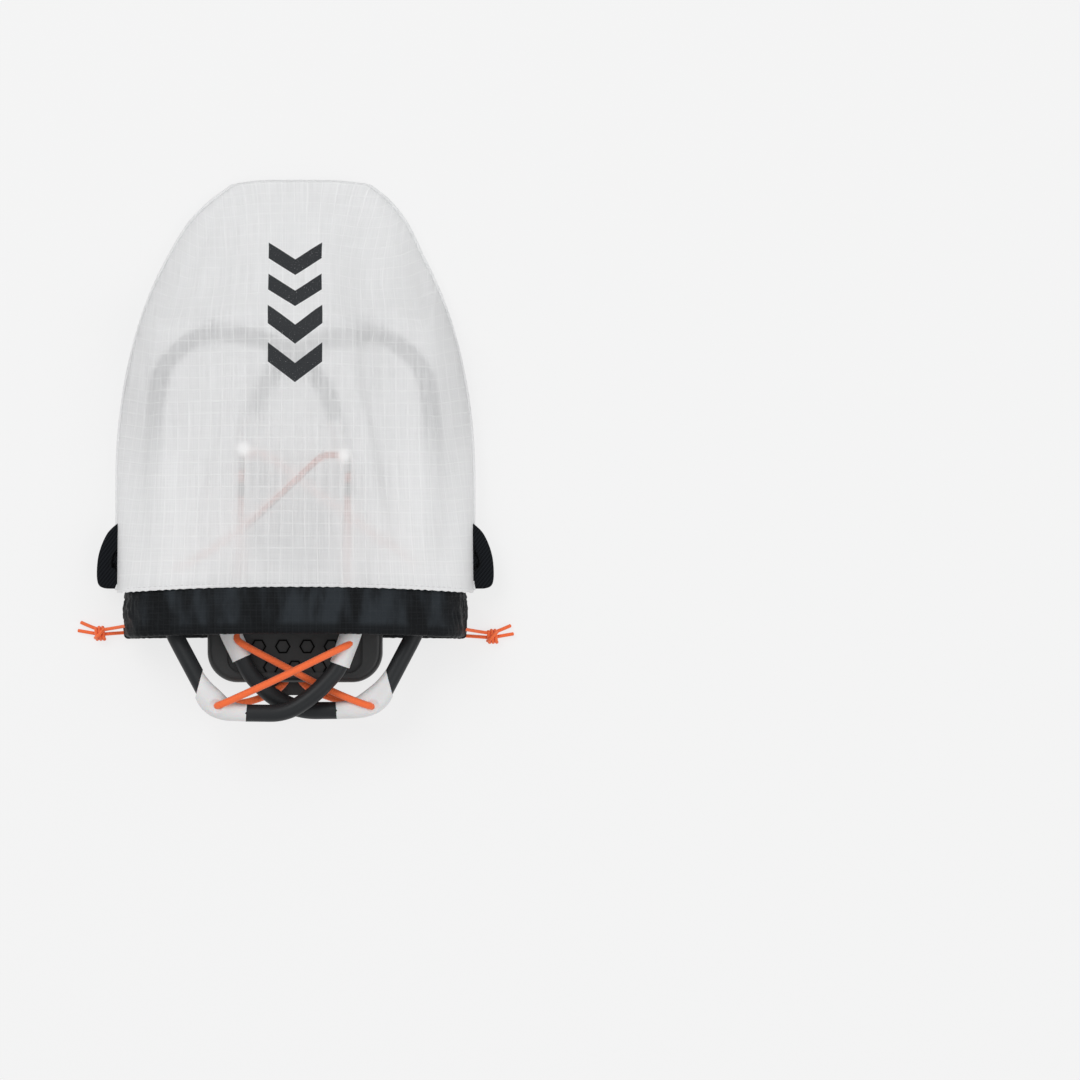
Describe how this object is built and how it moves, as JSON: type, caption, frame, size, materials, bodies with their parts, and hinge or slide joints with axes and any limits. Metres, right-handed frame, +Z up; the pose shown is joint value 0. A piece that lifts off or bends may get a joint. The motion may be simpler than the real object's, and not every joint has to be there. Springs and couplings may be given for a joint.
{
  "type": "head-lamp in drawstring pouch",
  "caption": "Folded head-lamp with cord-laced tubular headband sliding out of an open translucent drawstring pouch.",
  "frame": {"origin": "centre of the bounding box on the surface that the pouch lies on, measured without the drawcords", "axes": "+X across the pouch to its right side seam, +Y towards its closed end, +Z up from the table"},
  "size_m": [0.1878, 0.2317, 0.0456],
  "materials": {
    "pouch_cloth": "satin",
    "hem_cloth": "satin",
    "webbing": "matte",
    "orange_cord": "satin",
    "band_tube": "satin",
    "white_plastic": "satin",
    "black_plastic": "matte",
    "grey_plastic": "matte",
    "case_plastic": "satin",
    "steel": "satin",
    "cell_wrap": "gloss",
    "board": "satin",
    "black_rubber": "matte",
    "clear_lens": "gloss",
    "reflector": "gloss",
    "led": "gloss"
  },
  "bodies": {
    "pouch": {"pouch_front_panel": "pouch_cloth", "pouch_back_panel": "pouch_cloth", "hem_front": "hem_cloth", "hem_back": "hem_cloth", "side_tab_left": "webbing", "side_tab_right": "webbing", "drawcord_left": "orange_cord", "drawcord_left_knot": "orange_cord", "drawcord_right": "orange_cord", "drawcord_right_knot": "orange_cord"},
    "port_flap": {"port_flap": "black_rubber"},
    "lace_lock_plunger": {"lace_lock_plunger": "grey_plastic"},
    "power_button": {"power_button": "grey_plastic"},
    "lamp": {"lamp_housing": "black_plastic", "lamp_cover": "black_plastic", "lamp_screws": "steel", "lamp_lens": "clear_lens", "lamp_reflector": "reflector", "led_board": "board", "led_chips": "led", "button_switch": "black_plastic"},
    "headband": {"arch_tube_left": "band_tube", "cross_tube_left": "band_tube", "elbow_left": "white_plastic", "upper_corner_left": "white_plastic", "lower_corner_left": "white_plastic", "side_eyelet_left": "white_plastic", "lace_left": "orange_cord", "lace_guide_left": "black_plastic", "arch_tube_right": "band_tube", "cross_tube_right": "band_tube", "elbow_right": "white_plastic", "upper_corner_right": "white_plastic", "lower_corner_right": "white_plastic", "side_eyelet_right": "white_plastic", "lace_right": "orange_cord", "lace_guide_right": "black_plastic", "lace_lock_barrel": "black_plastic", "battery_case": "case_plastic", "battery_cover": "case_plastic", "battery_screws": "steel", "battery_cell": "cell_wrap", "charge_board": "board", "usb_socket": "steel", "port_flap_pin": "steel", "lamp_bracket": "black_plastic", "tilt_pins": "steel", "lamp_cable": "black_rubber"}
  },
  "joints": [
    {"name": "headlamp_slide", "type": "slide", "parent": "pouch", "child": "headband", "axis": [0, -1, 0], "range_m": [-0.008, 0.2]},
    {"name": "lamp_tilt", "type": "hinge", "parent": "headband", "child": "lamp", "pos_m": [0, -0.011, 0.0115], "axis": [-1, 0, 0], "range_deg": [0, 15]},
    {"name": "power_button_press", "type": "slide", "parent": "lamp", "child": "power_button", "axis": [0, 1, 0], "range_m": [0, 0.001], "stiffness_N_per_m": 600},
    {"name": "port_flap_hinge", "type": "hinge", "parent": "headband", "child": "port_flap", "pos_m": [-0.039, -0.071, 0.0087], "axis": [0, -1, 0], "range_deg": [0, 95]},
    {"name": "lace_lock_press", "type": "slide", "parent": "headband", "child": "lace_lock_plunger", "axis": [0, 0, -1], "range_m": [0, 0.0018], "stiffness_N_per_m": 600}
  ]
}
